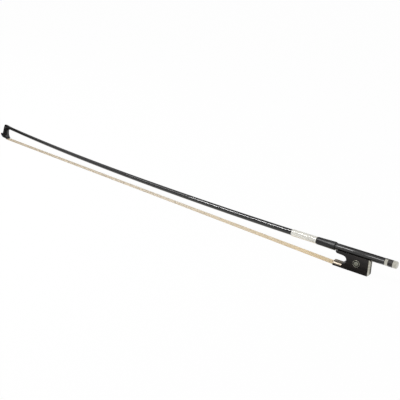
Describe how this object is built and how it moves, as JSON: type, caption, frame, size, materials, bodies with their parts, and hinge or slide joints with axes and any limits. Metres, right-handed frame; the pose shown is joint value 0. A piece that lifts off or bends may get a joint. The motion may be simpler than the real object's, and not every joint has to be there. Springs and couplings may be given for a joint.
{
  "type": "violin bow",
  "caption": "Slack violin bow: cambered black stick with a swan-bill head, metal winding, thumb grip, sliding frog on a turning screw button, and a flat ribbon of hair.",
  "frame": {"origin": "centre of the bounding box's bottom, on the surface that the front edge of the frog's ferrule stands on", "axes": "+X along the bow from head to button, +Z from the hair towards the stick, +Y across the bow"},
  "size_m": [0.7451, 0.0126, 0.0325],
  "materials": {
    "carbon": "black carbon fibre under clear gloss lacquer, with a faint diagonal weave",
    "black_plate": "black tip plate, satin",
    "fibre": "black vulcanised fibre",
    "maple": "unfinished maple",
    "knot": "waxed linen thread over horsehair",
    "silver": "polished silver, lightly worn",
    "grip": "thin black grip with a faint diagonal grain",
    "steel": "plain turned steel",
    "ebony": "polished ebony",
    "brass": "plain turned brass",
    "pearl": "mother of pearl, polished",
    "hair": "unbleached cream horsehair"
  },
  "bodies": {
    "stick": {"stick": "carbon", "tip_plate": "black_plate", "tip_liner": "fibre", "tip_hair_plug": "maple", "tip_hair_knot": "knot", "silver_winding": "silver", "thumb_grip": "grip", "hair_ribbon": "hair"},
    "frog": {"frog_body": "ebony", "frog_underslide": "silver", "eyelet": "brass", "ferrule": "silver", "ferrule_wedge": "maple", "pearl_slide": "pearl", "heel_base_plate": "silver", "slide_base": "ebony", "heel_plate": "silver", "frog_hair_plug": "maple", "frog_hair_knot": "knot", "eye_ring_left": "silver", "eye_ring_right": "silver", "eye_pearl_left": "pearl", "eye_pearl_right": "pearl"},
    "screw": {"adjusting_screw": "steel", "button_front_ring": "silver", "button_core": "ebony", "button_end_cap": "silver"}
  },
  "joints": [
    {"name": "screw_turn", "type": "hinge", "parent": "stick", "child": "screw", "pos_m": [0.3725, 0, 0.0282], "axis": [-0.9987, 0, -0.0506], "range_deg": [-1030, 3090]},
    {"name": "frog_slide", "type": "slide", "parent": "stick", "child": "frog", "axis": [0.9987, 0, 0.0506], "range_m": [-0.002, 0.006], "deforming": ["hair_ribbon"]}
  ],
  "couplings": [
    {"joint": "screw_turn", "follows": "frog_slide", "rad_per_m": 8976}
  ]
}
